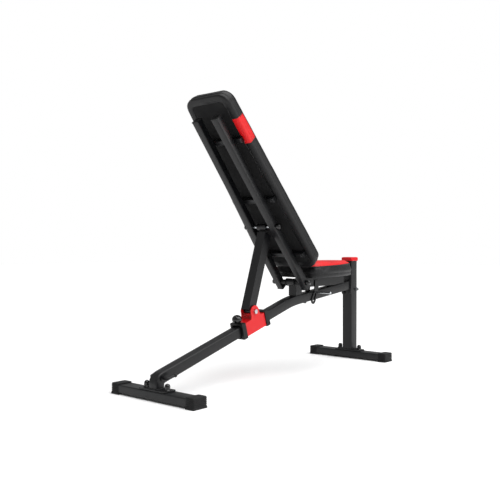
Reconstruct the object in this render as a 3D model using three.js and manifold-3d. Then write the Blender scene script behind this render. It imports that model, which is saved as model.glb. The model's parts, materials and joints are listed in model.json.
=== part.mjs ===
// Adjustable weight bench: a sloping square-tube beam on two cross feet, a tilting seat,
// and a backrest whose strut stands on a carriage that slides along the beam.
// Millimetres. +X runs from the rear foot to the front post, +Y is the left side, +Z is up.
// The origin is on the floor, under the middle of the bench.
import * as THREE from "three";
import Module from "manifold-3d";
import { mergeVertices } from "three/addons/utils/BufferGeometryUtils.js";

const wasm = await Module();
wasm.setup();

// ---------- driving dimensions ----------
const DEG = Math.PI / 180;
const GAP = 0.3; // clearance between touching pieces
const LENGTH = 1273; // rear edge of the rear foot to front edge of the front foot
const FOOT_WIDTH = 417; // over both rubber shoes
const FOOT_TUBE = { depth: 60, height: 30, wall: 2, lift: 5 };
const SHOE = { depth: 64, flangeDepth: 67, height: 39, length: 41, floor: 5, endWall: 4 };
const BASE_PLATE = { depth: 56, width: 132, thickness: 5 };
const BOLT_SPACING = 104; // across each base plate
const REAR_FOOT_X = SHOE.flangeDepth / 2;
const FRONT_FOOT_X = LENGTH - SHOE.flangeDepth / 2;

const TUBE = 40; // beam, upright, strut and seat tube are 40 mm square
const WALL = 2.5;
const BEAM = {
  rearSlope: 16.45 * DEG,
  frontSlope: 6.29 * DEG,
  rearIntercept: 63.1, // height of the rear centre line at the rear edge of the foot
  frontIntercept: 206.9,
  bendRadius: 480,
  heelRear: 11, // rear face of the down-turned heel
  heelFront: 51,
};
const POST = { size: 50, wall: 2.5, top: 465 };
const POST_BOLT = { x: 15, z: 321, radius: 4 };
const POST_CAP = { size: 58, height: 17.5, skirt: 11.5 };

const MAIN_PIVOT = { x: 787, z: 372 }; // backrest and seat turn about this axle
const AXLE_RADIUS = 6;
const BACKREST_ANGLE = 50.26 * DEG; // elevation in the pose that is drawn
const SEAT_TILT = 15 * DEG; // the seat's nose rises by this much

const BACK_TUBE = { size: 30, wall: 2, top: -800, bottom: 27 };
const BACK_TUBE_SPREAD = { atPivot: 63.9, perMm: 0.01955 }; // half spacing of the two tubes
const CROSS_MEMBER = { size: 20, wall: 1.5, positions: [-686, -411, -134] };
const BACK_BOARD = { thickness: 12, top: -853, bottom: -80, low: 35.6 };
const BACK_PAD = { top: -867, bottom: -66, low: 48, high: 84, chamfer: 20, corner: 45 };
const BACK_PAD_WIDTH = { atPivot: 144.6, perMm: 0.0445 }; // half width, narrower at the head
const STRUT_PIVOT = 297; // from the main pivot up the backrest

const CARRIAGE = {
  along: 555.5, // along the rear centre line of the beam
  pivotHeight: 50.5, // above that centre line
  outer: 54,
  innerHalfWidth: 23.5,
  innerHalfHeight: 25,
  rear: -69.5,
  front: 50.5,
  earRadius: 24,
};
const CARRIAGE_BLOCK = { size: 62, length: 21.7, openHalfWidth: 20.6, openHalfHeight: 25.2 };
const PULL_PIN = { x: -80.5, knobRadius: 17, knobHeight: 29, shank: 4.5 };

const SEAT_TUBE = { rear: 841, front: 1156, centre: 367.5 };
const SEAT_BOARD = { low: 392, thickness: 12, inset: 12 };
const SEAT_PAD = { rear: 805, front: 1191, low: 404.5, high: 455.5, rearChamfer: 36, edge: 8 };
const PIN_RADIUS = 4;
const ADJUSTER = { slotRadius: 153, slotTop: -19 * DEG, halfWidth: 14, thickness: 4 };

// ---------- materials ----------
function material(colour, roughness, metalness) {
  return new THREE.MeshStandardMaterial({ color: colour, roughness, metalness });
}
const blackPaint = material(0x2b2c2e, 0.45, 0.3);
const redPaint = material(0xc41a1f, 0.4, 0.2);
const chrome = material(0xd8dadc, 0.15, 1.0);
const zinc = material(0xb4b6b8, 0.35, 1.0);
const rubber = material(0x1c1c1d, 0.8, 0.0);
const nylon = material(0x141415, 0.5, 0.0);
const glossPlastic = material(0x0c0c0d, 0.15, 0.0);
const board = material(0x161616, 0.85, 0.0);
const vinyl = material(0x1d1d1f, 0.55, 0.0);
const redVinyl = material(0xb81c22, 0.5, 0.0);

// ---------- solids ----------
function toSolid(geometry) {
  geometry.deleteAttribute("normal");
  geometry.deleteAttribute("uv");
  const merged = mergeVertices(geometry, 1e-4);
  const vertProperties = new Float32Array(merged.attributes.position.array);
  const triVerts = new Uint32Array(merged.index.array);
  return new wasm.Manifold(new wasm.Mesh({ numProp: 3, vertProperties, triVerts }));
}

function toGeometry(solid) {
  const mesh = solid.getMesh();
  const geometry = new THREE.BufferGeometry();
  geometry.setAttribute("position", new THREE.BufferAttribute(mesh.vertProperties, 3));
  geometry.setIndex(new THREE.BufferAttribute(mesh.triVerts, 1));
  return geometry;
}

function boxSolid(sizeX, sizeY, sizeZ, x = 0, y = 0, z = 0) {
  return toSolid(new THREE.BoxGeometry(sizeX, sizeY, sizeZ).translate(x, y, z));
}

// A round bar along Y, from yLow to yHigh.
function barY(radius, yLow, yHigh, x = 0, z = 0, sides = 24) {
  const bar = new THREE.CylinderGeometry(radius, radius, yHigh - yLow, sides);
  return toSolid(bar.translate(x, (yLow + yHigh) / 2, z));
}

// A round bar along Z, from zLow to zHigh.
function barZ(radius, zLow, zHigh, x = 0, y = 0, sides = 24) {
  const bar = new THREE.CylinderGeometry(radius, radius, zHigh - zLow, sides).rotateX(Math.PI / 2);
  return toSolid(bar.translate(x, y, (zLow + zHigh) / 2));
}

// A turned piece about Z: profile is a list of [radius, height] that starts and ends on the axis.
function turned(profile, sides = 24) {
  const points = profile.map(([radius, height]) => new THREE.Vector2(radius, height));
  return toSolid(new THREE.LatheGeometry(points, sides).rotateX(Math.PI / 2));
}

// An outline drawn in X and Z, given the thickness between yLow and yHigh.
function plateXZ(shape, yLow, yHigh, curveSegments = 12) {
  const options = { depth: yHigh - yLow, bevelEnabled: false, curveSegments };
  const plate = new THREE.ExtrudeGeometry(shape, options).rotateX(Math.PI / 2);
  return toSolid(plate.translate(0, yHigh, 0));
}

// An outline drawn in X and Y, given the thickness between zLow and zHigh.
function plateXY(shape, zLow, zHigh, curveSegments = 12) {
  const options = { depth: zHigh - zLow, bevelEnabled: false, curveSegments };
  return toSolid(new THREE.ExtrudeGeometry(shape, options).translate(0, 0, zLow));
}

function polygon(points) {
  return new THREE.Shape(points.map(([a, b]) => new THREE.Vector2(a, b)));
}

// A rectangular tube along X, open at both ends, centred on the X axis.
function tubeX(xLow, xHigh, sizeY, sizeZ, wall) {
  const middle = (xLow + xHigh) / 2;
  const outer = boxSolid(xHigh - xLow, sizeY, sizeZ, middle);
  return outer.subtract(boxSolid(xHigh - xLow + 2, sizeY - 2 * wall, sizeZ - 2 * wall, middle));
}

// Both ears, ends or plates of a symmetric pair.
const SIDES = [["left", 1], ["right", -1]];

const bench = new THREE.Group();
bench.position.x = -LENGTH / 2;

function add(parent, name, solid, surface) {
  const mesh = new THREE.Mesh(toGeometry(solid), surface);
  mesh.name = name;
  parent.add(mesh);
  return mesh;
}

function group(parent, x, z, turnY = 0) {
  const frame = new THREE.Group();
  frame.position.set(x, 0, z);
  frame.rotation.y = turnY;
  parent.add(frame);
  return frame;
}

// ---------- feet ----------
function footTube(boltSpacing) {
  const top = FOOT_TUBE.lift + FOOT_TUBE.height;
  const reach = FOOT_WIDTH / 2 - SHOE.endWall - GAP;
  const centre = FOOT_TUBE.lift + FOOT_TUBE.height / 2;
  let tube = boxSolid(FOOT_TUBE.depth, 2 * reach, FOOT_TUBE.height, 0, 0, centre);
  const hollowDepth = FOOT_TUBE.depth - 2 * FOOT_TUBE.wall;
  const hollowHeight = FOOT_TUBE.height - 2 * FOOT_TUBE.wall;
  tube = tube.subtract(boxSolid(hollowDepth, 2 * reach + 2, hollowHeight, 0, 0, centre));
  for (const [, side] of SIDES) {
    tube = tube.subtract(barZ(5.3, FOOT_TUBE.lift - 1, top + 1, 0, (side * boltSpacing) / 2));
  }
  return tube;
}

function shoe(side) {
  const outerY = (side * FOOT_WIDTH) / 2;
  const innerY = outerY - side * SHOE.length;
  const middle = (outerY + innerY) / 2;
  const bodyMiddle = middle - side;
  const cavity = FOOT_WIDTH / 2 - SHOE.endWall;
  const cavityMiddle = (side * (cavity + FOOT_WIDTH / 2 - SHOE.length - 5)) / 2;
  const cavityLength = cavity - (FOOT_WIDTH / 2 - SHOE.length - 5);
  const tubeCentre = FOOT_TUBE.lift + FOOT_TUBE.height / 2;
  let body = boxSolid(SHOE.depth, SHOE.length - 2, SHOE.height, 0, bodyMiddle, SHOE.height / 2);
  body = body.add(boxSolid(SHOE.flangeDepth, SHOE.length, SHOE.floor, 0, middle, SHOE.floor / 2));
  const fit = 2 * GAP;
  const hollow = boxSolid(
    FOOT_TUBE.depth + fit, cavityLength, FOOT_TUBE.height + fit, 0, cavityMiddle, tubeCentre);
  body = body.subtract(hollow);
  const panelDepth = SHOE.depth - 16;
  return body.subtract(boxSolid(panelDepth, 3, SHOE.height - 18, 0, outerY - side * 2, 22));
}

// Bolt with a flanged dome head, standing down through the base plate into the foot tube.
function footBolt(y, plateTop) {
  const low = plateTop + GAP;
  const foot = FOOT_TUBE.lift + FOOT_TUBE.wall + GAP;
  const shank = [[0, foot], [8, foot], [8, foot + 4], [5, foot + 4], [5, low]];
  const flange = [[12, low], [12, low + 3], [10, low + 4], [10, low + 13]];
  const dome = [[8.6, low + 18], [5, low + 21.5], [0, low + 22.5]];
  return turned([...shank, ...flange, ...dome]).translate([0, y, 0]);
}

function basePlate(plateLow, boltSpacing) {
  const middle = plateLow + BASE_PLATE.thickness / 2;
  let plate = boxSolid(BASE_PLATE.depth, BASE_PLATE.width, BASE_PLATE.thickness, 0, 0, middle);
  for (const [, side] of SIDES) {
    plate = plate.subtract(barZ(5.3, plateLow - 1, plateLow + 9, 0, (side * boltSpacing) / 2));
  }
  return plate;
}

const PLATE_LOW = FOOT_TUBE.lift + FOOT_TUBE.height + GAP;
const PLATE_TOP = PLATE_LOW + BASE_PLATE.thickness;
for (const [end, footX] of [["rear", REAR_FOOT_X], ["front", FRONT_FOOT_X]]) {
  const foot = group(bench, footX, 0);
  add(foot, `${end}_foot_tube`, footTube(BOLT_SPACING), blackPaint);
  add(foot, `${end}_base_plate`, basePlate(PLATE_LOW, BOLT_SPACING), blackPaint);
  for (const [name, side] of SIDES) {
    add(foot, `${end}_foot_shoe_${name}`, shoe(side), rubber);
    const y = (side * BOLT_SPACING) / 2;
    add(foot, `${end}_foot_bolt_${name}`, footBolt(y, PLATE_TOP), glossPlastic);
  }
}

// ---------- main beam ----------
const postRear = FRONT_FOOT_X - POST.size / 2;
const rearTan = Math.tan(BEAM.rearSlope);
const frontTan = Math.tan(BEAM.frontSlope);
const kneeX = (BEAM.frontIntercept - BEAM.rearIntercept) / (rearTan - frontTan);
const kneeReach = BEAM.bendRadius * Math.tan((BEAM.rearSlope - BEAM.frontSlope) / 2);

// Height of a line parallel to the beam, offset upwards by that distance.
function rearLine(x, offset) {
  return BEAM.rearIntercept + rearTan * x + offset / Math.cos(BEAM.rearSlope);
}
function frontLine(x, offset) {
  return BEAM.frontIntercept + frontTan * x + offset / Math.cos(BEAM.frontSlope);
}

// Side outline of the beam, shrunk by inset on the long faces and grown at the open ends.
function beamOutline(inset, overrun) {
  const half = TUBE / 2 - inset;
  const heelRear = BEAM.heelRear + inset;
  const heelFront = BEAM.heelFront - inset;
  const low = PLATE_TOP + GAP - overrun;
  const frontX = postRear - 5 - GAP + overrun;
  const bendIn = kneeX - kneeReach;
  const bendOut = kneeX + kneeReach;
  const shape = new THREE.Shape();
  shape.moveTo(heelRear, low);
  shape.lineTo(heelRear, 64);
  shape.quadraticCurveTo(heelRear, rearLine(heelRear, half), 34, rearLine(34, half));
  shape.lineTo(bendIn, rearLine(bendIn, half));
  shape.quadraticCurveTo(kneeX, rearLine(kneeX, half), bendOut, frontLine(bendOut, half));
  shape.lineTo(frontX, frontLine(frontX, half));
  shape.lineTo(frontX, frontLine(frontX, -half));
  shape.lineTo(bendOut, frontLine(bendOut, -half));
  shape.quadraticCurveTo(kneeX, rearLine(kneeX, -half), bendIn, rearLine(bendIn, -half));
  shape.lineTo(heelFront + 12, rearLine(heelFront + 12, -half));
  shape.quadraticCurveTo(heelFront, rearLine(heelFront, -half), heelFront, rearLine(heelFront, -half) - 8);
  shape.lineTo(heelFront, low);
  return shape;
}

const beamHoleSpacing = 38;
const beamHoleCount = 9;
const holeReach = CARRIAGE.along + PULL_PIN.x; // the hole under the pull pin

function beamPoint(along, height) {
  const x = along * Math.cos(BEAM.rearSlope) - height * Math.sin(BEAM.rearSlope);
  const rise = along * Math.sin(BEAM.rearSlope) + height * Math.cos(BEAM.rearSlope);
  return { x, z: BEAM.rearIntercept + rise };
}

// Cutter for one locking hole, square to the beam's top face.
function beamHole(along) {
  const at = beamPoint(along, TUBE / 2);
  const cutter = new THREE.CylinderGeometry(5, 5, 12, 14).rotateX(Math.PI / 2);
  return toSolid(cutter.rotateY(-BEAM.rearSlope).translate(at.x, 0, at.z));
}

function mainBeam() {
  const half = TUBE / 2;
  let beam = plateXZ(beamOutline(0, 0), -half, half);
  beam = beam.subtract(plateXZ(beamOutline(WALL, 4), -half + WALL, half - WALL));
  for (let index = 0; index < beamHoleCount; index += 1) {
    beam = beam.subtract(beamHole(holeReach + (2 - index) * beamHoleSpacing));
  }
  const pinX = MAIN_PIVOT.x + ADJUSTER.slotRadius * Math.cos(ADJUSTER.slotTop);
  const pinZ = MAIN_PIVOT.z + ADJUSTER.slotRadius * Math.sin(ADJUSTER.slotTop);
  return beam.subtract(barY(PIN_RADIUS + GAP, -half - 1, half + 1, pinX, pinZ, 18));
}
add(bench, "main_beam", mainBeam(), blackPaint);

// Peg for an exercise band beside the heel: a flange, a bent rod and a stop ball.
function bandHook(side) {
  const start = { x: 42, z: 76 };
  const y = (distance) => side * (TUBE / 2 + distance);
  const low = Math.min(y(GAP), y(4));
  const high = Math.max(y(GAP), y(4));
  const flange = barY(11, low, high, start.x, start.z);
  const path = new THREE.CurvePath();
  const corner = new THREE.Vector3(start.x, y(24), start.z);
  const from = new THREE.Vector3(start.x, y(2), start.z);
  const bendStart = new THREE.Vector3(start.x, y(14), start.z);
  const bendEnd = new THREE.Vector3(start.x + 10, y(24), start.z + 2);
  path.add(new THREE.LineCurve3(from, bendStart));
  path.add(new THREE.QuadraticBezierCurve3(bendStart, corner, bendEnd));
  path.add(new THREE.LineCurve3(bendEnd, new THREE.Vector3(start.x + 34, y(25), start.z + 8)));
  const section = new THREE.Shape();
  section.absarc(0, 0, 4.5, 0, 2 * Math.PI, false);
  const options = { steps: 14, extrudePath: path, curveSegments: 5, bevelEnabled: false };
  const rod = toSolid(new THREE.ExtrudeGeometry(section, options));
  const ball = new THREE.SphereGeometry(7, 14, 10).translate(start.x + 34, y(25), start.z + 8);
  return flange.add(rod).add(toSolid(ball));
}
for (const [name, side] of SIDES) {
  add(bench, `band_hook_${name}`, bandHook(side), blackPaint);
}

// ---------- upright and main axle ----------
const UPRIGHT_REAR = 795;
const UPRIGHT_TOP = 381;
const HINGE_SLEEVE_RADIUS = 13;
function upright() {
  const low = 290;
  const middleX = UPRIGHT_REAR + TUBE / 2;
  const middleZ = (low + UPRIGHT_TOP) / 2;
  const height = UPRIGHT_TOP - low;
  let tube = boxSolid(TUBE, TUBE, height, middleX, 0, middleZ);
  tube = tube.subtract(boxSolid(TUBE - 2 * WALL, TUBE - 2 * WALL, height + 2, middleX, 0, middleZ));
  tube = tube.subtract(plateXZ(beamOutline(-GAP, 0), -TUBE, TUBE));
  const notch = HINGE_SLEEVE_RADIUS + GAP;
  return tube.subtract(barY(notch, -TUBE, TUBE, MAIN_PIVOT.x, MAIN_PIVOT.z, 32));
}
add(bench, "upright", upright(), blackPaint);

// A round sleeve on an axle along Y.
function sleeveY(outerRadius, boreRadius, halfLength, sides = 28) {
  const outer = barY(outerRadius, -halfLength, halfLength, 0, 0, sides);
  return outer.subtract(barY(boreRadius, -halfLength - 1, halfLength + 1, 0, 0, sides));
}

const pivot = group(bench, MAIN_PIVOT.x, MAIN_PIVOT.z);
const sleeveBore = AXLE_RADIUS + GAP;
add(pivot, "hinge_sleeve", sleeveY(HINGE_SLEEVE_RADIUS, sleeveBore, TUBE / 2), blackPaint);
const AXLE_REACH = 86;
add(pivot, "main_axle", barY(AXLE_RADIUS, -AXLE_REACH, AXLE_REACH), chrome);

// Washer, collar and dome nut on the end of an axle, outside a tube face at faceY.
function axleNut(side, faceY, boreDepth) {
  const bore = AXLE_RADIUS + GAP;
  const washer = [[bore, 0], [12, 0], [12, 2.2], [8.5, 2.2], [8.5, 5], [11, 5]];
  const dome = [[11, 12], [9.6, 15.6], [5.5, 17.6], [0, 18], [0, boreDepth], [bore, boreDepth]];
  const nut = turned([...washer, ...dome, [bore, 0]], 20);
  return nut.rotate([side > 0 ? -90 : 90, 0, 0]).translate([0, side * faceY, 0]);
}

// Half spacing of the backrest tubes at a place along the backrest.
function tubeSpread(along) {
  return BACK_TUBE_SPREAD.atPivot + BACK_TUBE_SPREAD.perMm * along;
}
const PLATE_OUT = TUBE / 2 + GAP + 3; // outer face of the seat hinge plates
for (const [name, side] of SIDES) {
  const face = tubeSpread(0) + BACK_TUBE.size / 2 + 2 * GAP;
  add(pivot, `main_axle_nut_${name}`, axleNut(side, face, AXLE_REACH - face + GAP), glossPlastic);
  const near = PLATE_OUT + GAP;
  const far = tubeSpread(0) - BACK_TUBE.size / 2 - 2 * GAP;
  const yLow = side > 0 ? near : -far;
  const spacer = barY(10, yLow, yLow + far - near);
  const bored = spacer.subtract(barY(sleeveBore, yLow - 1, yLow + far - near + 1));
  add(pivot, `axle_spacer_${name}`, bored, nylon);
}

// ---------- front post ----------
const FLANGE = { width: 52, low: 298, high: 364, thickness: 5, boltHeight: 305, boltHalf: 15 };
function frontPost() {
  const low = PLATE_TOP + GAP;
  const middle = (low + POST.top) / 2;
  const inner = POST.size - 2 * POST.wall;
  let tube = boxSolid(POST.size, POST.size, POST.top - low, 0, 0, middle);
  tube = tube.subtract(boxSolid(inner, inner, POST.top - low + 2, 0, 0, middle));
  tube = tube.subtract(barY(4.5, -POST.size, POST.size, 8, 373, 16));
  for (const [, side] of SIDES) {
    const bore = new THREE.CylinderGeometry(4.6, 4.6, 10, 16).rotateZ(Math.PI / 2);
    bore.translate(-POST.size / 2, side * FLANGE.boltHalf, FLANGE.boltHeight);
    tube = tube.subtract(toSolid(bore));
  }
  const { x, z, radius } = POST_BOLT;
  return tube.subtract(barY(radius + GAP, -POST.size, POST.size, x, z, 18));
}
const post = group(bench, FRONT_FOOT_X, 0);
add(post, "front_post", frontPost(), blackPaint);

function postCap() {
  const low = POST.top - POST_CAP.skirt;
  const size = POST_CAP.size;
  const cap = boxSolid(size, size, POST_CAP.height, 0, 0, low + POST_CAP.height / 2);
  const fit = POST.size + 2 * GAP;
  return cap.subtract(boxSolid(fit, fit, POST_CAP.skirt + 2, 0, 0, low + POST_CAP.skirt / 2 - 1 + GAP));
}
add(post, "post_cap", postCap(), redPaint);

// Rounded flange on the front end of the beam, bolted to the rear of the post.
function beamFlange() {
  const { width, low, high, thickness } = FLANGE;
  const half = width / 2;
  const corner = 12;
  const shape = new THREE.Shape();
  shape.moveTo(-half, low + corner);
  shape.quadraticCurveTo(-half, low, -half + corner, low);
  shape.lineTo(half - corner, low);
  shape.quadraticCurveTo(half, low, half, low + corner);
  shape.lineTo(half, high - corner);
  shape.quadraticCurveTo(half, high, half - corner, high);
  shape.lineTo(-half + corner, high);
  shape.quadraticCurveTo(-half, high, -half, high - corner);
  const options = { depth: thickness - GAP, bevelEnabled: false, curveSegments: 6 };
  const plate = new THREE.ExtrudeGeometry(shape, options).rotateX(Math.PI / 2).rotateZ(Math.PI / 2);
  let flange = toSolid(plate.translate(postRear - thickness, 0, 0));
  for (const [, side] of SIDES) {
    flange = flange.subtract(flangeBoltBar(4.6, -4, 4, side));
  }
  return flange;
}

// A bar along X about the post's rear face, for one flange bolt.
function flangeBoltBar(radius, low, high, side, sides = 16) {
  const bar = new THREE.CylinderGeometry(radius, radius, high - low, sides).rotateZ(Math.PI / 2);
  const x = postRear - FLANGE.thickness / 2 + (low + high) / 2;
  return toSolid(bar.translate(x, side * FLANGE.boltHalf, FLANGE.boltHeight));
}
add(bench, "beam_flange", beamFlange(), blackPaint);
for (const [name, side] of SIDES) {
  const shank = flangeBoltBar(4, -4, 8, side);
  const hexagon = flangeBoltBar(7.5, -8.5, -FLANGE.thickness / 2 - GAP, side, 6);
  add(bench, `flange_bolt_${name}`, shank.add(hexagon), blackPaint);
}

// Bolt across the post, with a hexagon on each side.
function postBolt() {
  const { x, z, radius } = POST_BOLT;
  const face = POST.size / 2 + GAP;
  const shank = barY(radius, -face - 13, face + 10, x, z);
  const headRight = barY(8.5, -face - 6.5, -face, x, z, 6);
  const headLeft = barY(8.5, face, face + 7, x, z, 6);
  return shank.add(headRight).add(headLeft);
}
add(post, "post_side_bolt", postBolt(), zinc);

// ---------- backrest ----------
// Local X runs down the backrest from its head, local Z points out of the cushion.
const backrest = group(bench, MAIN_PIVOT.x, MAIN_PIVOT.z, BACKREST_ANGLE);

function backTube(side) {
  const yaw = Math.atan(BACK_TUBE_SPREAD.perMm) / DEG;
  const straight = tubeX(BACK_TUBE.top, BACK_TUBE.bottom, BACK_TUBE.size, BACK_TUBE.size, BACK_TUBE.wall);
  let tube = straight.rotate([0, 0, side * yaw]).translate([0, side * tubeSpread(0), 0]);
  for (const along of [0, -STRUT_PIVOT]) {
    tube = tube.subtract(barY(sleeveBore, -100, 100, along, 0));
  }
  return tube;
}

// Push-in plug: a thin head over the tube end and a spigot inside it.
function tubePlug(size, wall, head = 3.5) {
  const spigot = size - 2 * wall - 2 * GAP;
  const plug = boxSolid(head, size, size, head / 2 + GAP);
  return plug.add(boxSolid(14, spigot, spigot, -7 + GAP + 1));
}

for (const [name, side] of SIDES) {
  const yaw = side * Math.atan(BACK_TUBE_SPREAD.perMm);
  add(backrest, `backrest_tube_${name}`, backTube(side), blackPaint);
  for (const [end, along, flip] of [["top", BACK_TUBE.top, Math.PI], ["bottom", BACK_TUBE.bottom, 0]]) {
    const cosine = Math.cos(yaw);
    const plug = add(backrest, `back_plug_${end}_${name}`, tubePlug(BACK_TUBE.size, BACK_TUBE.wall), nylon);
    plug.position.set(along * cosine, side * tubeSpread(along * cosine), 0);
    plug.rotation.z = yaw + flip;
  }
}

// Half width of the cushion at a place along the backrest.
function padHalfWidth(along) {
  return BACK_PAD_WIDTH.atPivot + BACK_PAD_WIDTH.perMm * along;
}

CROSS_MEMBER.positions.forEach((along, index) => {
  const half = padHalfWidth(along) - 22;
  const size = CROSS_MEMBER.size;
  const inner = size - 2 * CROSS_MEMBER.wall;
  const z = BACK_TUBE.size / 2 + size / 2 + GAP;
  let member = boxSolid(size, 2 * half, size - GAP, along, 0, z);
  member = member.subtract(boxSolid(inner, 2 * half + 2, inner, along, 0, z));
  add(backrest, `cross_member_${index + 1}`, member, blackPaint);
});

// Tapered outline with round corners, shrunk by inset.
function backOutline(top, bottom, inset, corner) {
  const head = padHalfWidth(top) - inset;
  const foot = padHalfWidth(bottom) - inset;
  const shape = new THREE.Shape();
  shape.moveTo(top + corner, head);
  shape.quadraticCurveTo(top, head, top, head - corner);
  shape.lineTo(top, -head + corner);
  shape.quadraticCurveTo(top, -head, top + corner, -head);
  shape.lineTo(bottom - corner, -foot);
  shape.quadraticCurveTo(bottom, -foot, bottom, -foot + corner);
  shape.lineTo(bottom, foot - corner);
  shape.quadraticCurveTo(bottom, foot, bottom - corner, foot);
  return shape;
}

const backBoardOutline = backOutline(BACK_BOARD.top, BACK_BOARD.bottom, 12, 38);
const boardHigh = BACK_BOARD.low + BACK_BOARD.thickness;
add(backrest, "backrest_board", plateXY(backBoardOutline, BACK_BOARD.low, boardHigh, 6), board);

function backPad() {
  const outline = backOutline(BACK_PAD.top, BACK_PAD.bottom, 0, BACK_PAD.corner);
  const slab = plateXY(outline, BACK_PAD.low, BACK_PAD.high, 8);
  const { bottom, high, chamfer } = BACK_PAD;
  const wedge = polygon([[bottom - chamfer, high + 1], [bottom + 1, high + 1], [bottom + 1, high - chamfer - 1]]);
  return slab.subtract(plateXZ(wedge, -200, 200));
}
add(backrest, "backrest_pad", backPad(), vinyl);

const strutAxleReach = tubeSpread(-STRUT_PIVOT) + BACK_TUBE.size / 2 + 7;
add(backrest, "strut_axle", barY(AXLE_RADIUS, -strutAxleReach, strutAxleReach, -STRUT_PIVOT, 0), chrome);
for (const [name, side] of SIDES) {
  const face = tubeSpread(-STRUT_PIVOT) + BACK_TUBE.size / 2 + 2 * GAP;
  const nut = axleNut(side, face, strutAxleReach - face + GAP).translate([-STRUT_PIVOT, 0, 0]);
  add(backrest, `strut_axle_nut_${name}`, nut, glossPlastic);
}

// ---------- strut ----------
// Local Z runs from the foot pivot to the head pivot.
const foot = beamPoint(CARRIAGE.along, CARRIAGE.pivotHeight);
const head = {
  x: MAIN_PIVOT.x - STRUT_PIVOT * Math.cos(BACKREST_ANGLE),
  z: MAIN_PIVOT.z + STRUT_PIVOT * Math.sin(BACKREST_ANGLE),
};
const strutLength = Math.hypot(head.x - foot.x, head.z - foot.z);
const strutLean = Math.atan2(head.x - foot.x, head.z - foot.z);
const strut = group(bench, foot.x, foot.z, strutLean);
const STRUT_TUBE = { footOffset: -11, headOffset: 16.5, top: 22 }; // tube leans across the pivot line
const HEAD_SLEEVE = { radius: 13, halfLength: 22 };
const FOOT_SLEEVE = { radius: 10, halfLength: 22, bolt: 5 };

function strutTube() {
  const length = strutLength - STRUT_TUBE.top;
  const lean = Math.atan2(STRUT_TUBE.headOffset - STRUT_TUBE.footOffset, length) / DEG;
  let tube = tubeX(0, length, TUBE, TUBE, WALL).rotate([0, -90, 0]);
  tube = tube.rotate([0, lean, 0]).translate([STRUT_TUBE.footOffset, 0, 0]);
  tube = tube.subtract(barY(HEAD_SLEEVE.radius + GAP, -30, 30, 0, strutLength, 32));
  const bore = barY(FOOT_SLEEVE.bolt + GAP, -30, 30, 0, 0);
  return tube.add(barY(FOOT_SLEEVE.radius, -FOOT_SLEEVE.halfLength, FOOT_SLEEVE.halfLength)).subtract(bore);
}
add(strut, "strut_tube", strutTube(), blackPaint);
const headSleeve = sleeveY(HEAD_SLEEVE.radius, sleeveBore, HEAD_SLEEVE.halfLength);
add(strut, "strut_head_sleeve", headSleeve.translate([0, 0, strutLength]), blackPaint);

// ---------- carriage ----------
// Local X runs up the beam, local Z is square to it, and the origin is on the beam's centre line.
const carriageAt = beamPoint(CARRIAGE.along, 0);
const carriage = group(bench, carriageAt.x, carriageAt.z, -BEAM.rearSlope);

function ear(side) {
  const { pivotHeight, earRadius, outer } = CARRIAGE;
  const base = outer / 2 - 2;
  const shape = new THREE.Shape();
  shape.moveTo(-34, base);
  shape.lineTo(34, base);
  shape.quadraticCurveTo(26, base + 4, earRadius, pivotHeight - 6);
  shape.lineTo(earRadius, pivotHeight);
  shape.absarc(0, pivotHeight, earRadius, 0, Math.PI, false);
  shape.lineTo(-earRadius, pivotHeight - 6);
  shape.quadraticCurveTo(-26, base + 4, -34, base);
  const inner = CARRIAGE.innerHalfWidth;
  const yLow = side > 0 ? inner : -outer / 2;
  return plateXZ(shape, yLow, yLow + outer / 2 - inner, 16);
}

function carriageSleeve() {
  const { rear, front, outer, innerHalfWidth, innerHalfHeight, pivotHeight } = CARRIAGE;
  const middle = (rear + front) / 2;
  const length = front - rear;
  let sleeve = boxSolid(length, outer, outer, middle);
  sleeve = sleeve.add(ear(1)).add(ear(-1));
  sleeve = sleeve.subtract(
    boxSolid(length + 2, 2 * innerHalfWidth, 2 * innerHalfHeight, middle));
  return sleeve.subtract(barY(FOOT_SLEEVE.bolt + GAP, -40, 40, 0, pivotHeight));
}
add(carriage, "carriage_sleeve", carriageSleeve(), redPaint);

function carriageBlock(xLow) {
  const { size, length, openHalfWidth, openHalfHeight } = CARRIAGE_BLOCK;
  const block = boxSolid(length, size, size, xLow + length / 2);
  return block.subtract(
    boxSolid(length + 2, 2 * openHalfWidth, 2 * openHalfHeight, xLow + length / 2));
}
const rearBlockLow = CARRIAGE.rear - GAP - CARRIAGE_BLOCK.length;
const pinBore = barZ(PULL_PIN.shank + GAP, 20, 40, PULL_PIN.x, 0);
add(carriage, "carriage_rear_block", carriageBlock(rearBlockLow).subtract(pinBore), nylon);
add(carriage, "carriage_front_block", carriageBlock(CARRIAGE.front + GAP), nylon);

// Bolt through both ears and the strut's foot, with a hexagon on each end.
const boltFace = CARRIAGE.outer / 2 + GAP;
const boltShank = barY(FOOT_SLEEVE.bolt, -boltFace - 1, boltFace + 10);
const boltHead = barY(9.5, -boltFace - 6.5, -boltFace, 0, 0, 6);
const boltNut = barY(9.5, boltFace, boltFace + 8, 0, 0, 6);
const carriageBolt = boltShank.add(boltHead).add(boltNut);
add(carriage, "carriage_bolt", carriageBolt.translate([0, 0, CARRIAGE.pivotHeight]), chrome);

// Spring-loaded pull pin with a round knob.
function pullPin() {
  const low = CARRIAGE_BLOCK.size / 2 + GAP;
  const { knobRadius, knobHeight, shank } = PULL_PIN;
  const profile = [[0, TUBE / 2 + 5.4], [shank, TUBE / 2 + 5.4], [shank, low + 1], [11, low + 1]];
  const steps = 8;
  for (let step = 0; step <= steps; step += 1) {
    const turn = (-50 + (140 * step) / steps) * DEG;
    const radius = knobRadius * Math.cos(turn);
    profile.push([Math.max(radius, 0), low + 14 + ((knobHeight - 14) * Math.sin(turn))]);
  }
  profile[profile.length - 1][0] = 0;
  return turned(profile, 28).translate([PULL_PIN.x, 0, 0]);
}
add(carriage, "pull_pin", pullPin(), glossPlastic);

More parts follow.
